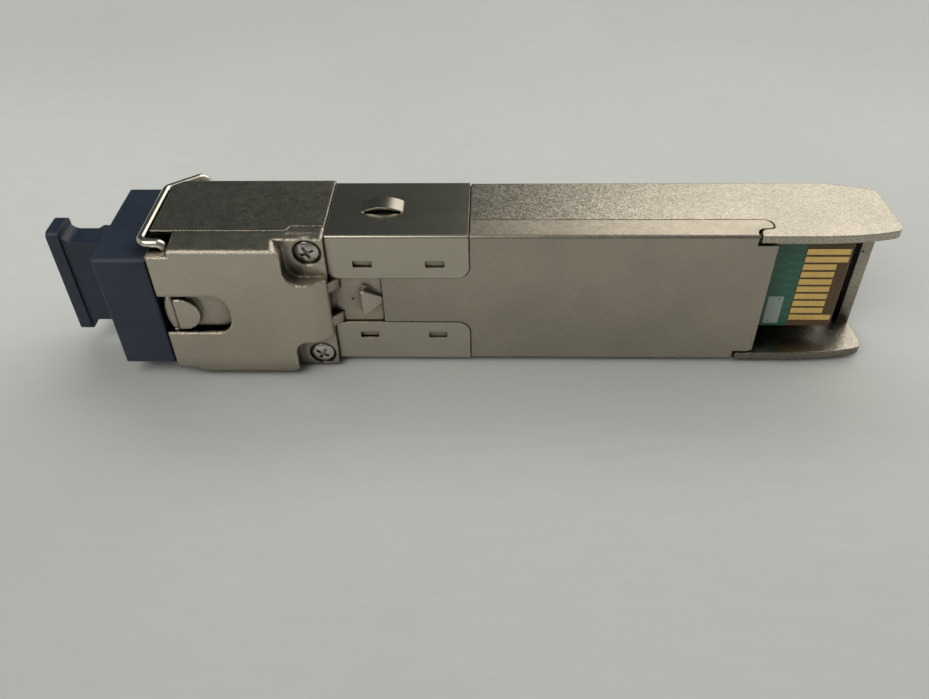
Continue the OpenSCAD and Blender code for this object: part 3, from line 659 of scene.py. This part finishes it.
# ------------------------------------------------------------ rounded edges
def soften(obj, width, segments=2):
    """Real rounded edges, by modifiers only."""
    obj.modifiers.new("join", "WELD").merge_threshold = 1e-6
    flat = obj.modifiers.new("flat", "DECIMATE")
    flat.decimate_type = "DISSOLVE"
    flat.angle_limit = math.radians(0.4)
    bevel = obj.modifiers.new("round", "BEVEL")
    bevel.width = width * MM
    bevel.segments = segments
    bevel.limit_method = "ANGLE"
    bevel.angle_limit = math.radians(28)
    bevel.use_clamp_overlap = True
    bevel.harden_normals = False
    bevel.miter_outer = "MITER_ARC"
    shade = obj.modifiers.new("shade", "WEIGHTED_NORMAL")
    shade.keep_sharp = False
    shade.weight = 80


# node, edge width, segments
SOFT_EDGES = (
    ("main_housing", 0.11, 2), ("head_cover", 0.13, 3), ("bottom_cover", 0.05, 2),
    ("emi_collar", 0.04, 2), ("delatch_slider", 0.07, 2), ("dust_plug", 0.16, 3),
    ("circuit_board", 0.03, 2), ("bottom_contacts", 0.01, 1), ("top_contacts", 0.01, 1),
)
for name, width, segments in SOFT_EDGES:
    soften(NODES[name], width, segments)
for screw in (near_screw, far_screw):
    soften(screw, width=0.035)

# ------------------------------------------------------------ floor
STAGE_X = 0.012
FLOOR_SIZE = 6.0
FLOOR_GAP = 0.00002  # below the lowest point


def floor_material():
    """Pale paper with faint fibres along X, and a painted falloff of the light: a little darker to the front and
    back.
    """
    net = new_material("floor_paper")
    place = net.points()
    x, y, z = net.split(place)
    fibre = net.noise(net.join(net.mul(x, 0.35), net.mul(y, 1.4), z),
                      scale=0.55, detail=3.0, rough=0.6)
    soft = net.noise(place, scale=0.018)
    fine = net.noise(place, scale=2.5, detail=3.0, rough=0.6)
    color = net.mix(net.remap(soft, span=(0.3, 0.7), smooth=True),
                    (0.535, 0.548, 0.535), (0.570, 0.583, 0.570))
    color = net.mix(net.remap(fibre, span=(0.35, 0.7), to=(0.0, 0.30)),
                    color, (0.497, 0.510, 0.497))
    # painted falloff of the light towards the front and the back
    painted_falloff = net.mul(net.remap(y, span=(-34.0, 15.0), to=(0.84, 1.0), smooth=True),
                   net.remap(y, span=(30.0, 90.0), to=(1.0, 0.90), smooth=True))
    color = net.scale(color, painted_falloff)
    rough = net.remap(fine, span=(0.3, 0.7), to=(0.55, 0.65))
    relief = net.add(net.mul(fibre, 2.0), fine)
    return net.finish(color, rough, net.bump(relief, distance=0.05, strength=0.25),
                      **{"Specular IOR Level": 0.25})


floor_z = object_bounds()[0].z
bpy.ops.mesh.primitive_grid_add(x_subdivisions=8, y_subdivisions=8, size=FLOOR_SIZE,
                                location=(STAGE_X, 0.0, floor_z - FLOOR_GAP))
floor = bpy.context.active_object
floor.name = "studio_floor"
floor.data.materials.append(floor_material())

# ------------------------------------------------------------ surroundings
# soft lobes of light and dark, later ones over earlier ones, in degrees:
# azimuth from +Y towards +X, elevation, inner and outer radius, colour
LOBES = (
    (27, 54, 20, 35, (2.70, 2.58, 2.36)),
    (-142, 51, 14, 28, (3.60, 3.50, 3.27)),
    (152, 48, 16, 34, (0.14, 0.15, 0.145)),
    (-60, 70, 20, 40, (0.20, 0.21, 0.20)),
    (-28, 33, 23, 38, (0.050, 0.066, 0.062)),
    (43, 30, 15, 34, (1.62, 1.58, 1.47)),
)


def build_world():
    world = bpy.data.worlds.new("studio")
    bpy.context.scene.world = world
    net = NodeNet(world)
    ray = net.vec("NORMALIZE", net.new("ShaderNodeTexCoord").outputs["Generated"])
    _, y, z = net.split(ray)
    low_ring = net.mix(net.remap(y, span=(-0.5, 0.5), smooth=True),
                       (0.17, 0.175, 0.17), (0.44, 0.45, 0.44))
    color = net.mix(net.remap(z, span=(0.56, 0.90), smooth=True),
                    low_ring, (0.62, 0.63, 0.615))
    for azimuth, elevation, inner, outer, lobe_color in LOBES:
        turn, rise = math.radians(azimuth), math.radians(elevation)
        aim = Vector((math.sin(turn) * math.cos(rise), math.cos(turn) * math.cos(rise),
                      math.sin(rise))).normalized()
        span = (math.cos(math.radians(outer)), math.cos(math.radians(inner)))
        lobe = net.remap(net.vec("DOT_PRODUCT", ray, tuple(aim)), span, smooth=True)
        color = net.mix(lobe, color, lobe_color)
    # the camera itself sees a plain backdrop
    chooser = net.new("ShaderNodeMixShader")
    net.put(chooser.inputs[0], net.new("ShaderNodeLightPath").outputs["Is Camera Ray"])
    for i, background in ((1, color), (2, (0.56, 0.57, 0.55))):
        node = net.new("ShaderNodeBackground")
        net.put(node.inputs[0], background)
        net.put(node.inputs[1], 1.0)
        net.put(chooser.inputs[i], node.outputs[0])
    net.put(net.new("ShaderNodeOutputWorld").inputs[0], chooser.outputs[0])


def floor_panel(name, position, size, power):
    """Area light that reaches the floor alone."""
    light = bpy.data.lights.new(name, "AREA")
    light.shape = "RECTANGLE"
    light.size, light.size_y = size
    light.energy = power
    light.color = (1.0, 1.0, 0.99)
    panel = bpy.data.objects.new(name, light)
    panel.location = position
    panel.rotation_mode = "QUATERNION"
    aim = Vector((STAGE_X, 0, 0)) - Vector(position)
    panel.rotation_quaternion = aim.to_track_quat("-Z", "Y")
    bpy.context.scene.collection.objects.link(panel)
    receivers = bpy.data.collections.new(name + "_receivers")
    receivers.objects.link(floor)
    panel.light_linking.receiver_collection = receivers


build_world()
# one behind the object for its soft shadow, one in front to open it up
floor_panel("panel_floor_back", position=(-0.09, 0.33, 0.40), size=(0.34, 0.20), power=0.54)
floor_panel("panel_floor_front", position=(-0.13, -0.20, 0.44), size=(0.40, 0.30), power=0.38)


# ------------------------------------------------------------ camera
def build_camera():
    position = Vector((0.0114400, -0.0601652, 0.0477068))
    pitch, yaw, roll = 0.725918468, 0.0319951212, 0.00392742019  # radians
    data = bpy.data.cameras.new("camera")
    data.sensor_width = 36.0
    data.sensor_fit = "HORIZONTAL"
    data.lens = 34.1449731
    data.clip_start, data.clip_end = 0.002, 20
    camera = bpy.data.objects.new("camera", data)
    # world axes to view axes (right, down, ahead), then the three turns about those
    level = Matrix(((1, 0, 0), (0, 0, -1), (0, 1, 0)))
    turn = (Matrix.Rotation(roll, 3, "Z") @ Matrix.Rotation(yaw, 3, "Y")
            @ Matrix.Rotation(pitch, 3, "X"))
    # a camera's own axes are right, up and backwards
    axes = (turn @ level).transposed() @ Matrix.Diagonal((1, -1, -1))
    camera.matrix_world = Matrix.Translation(position) @ axes.to_4x4()
    bpy.context.scene.collection.objects.link(camera)
    bpy.context.scene.camera = camera


build_camera()
view = bpy.context.scene.view_settings
view.view_transform = "Standard"
view.look = "None"
view.exposure = 0.0
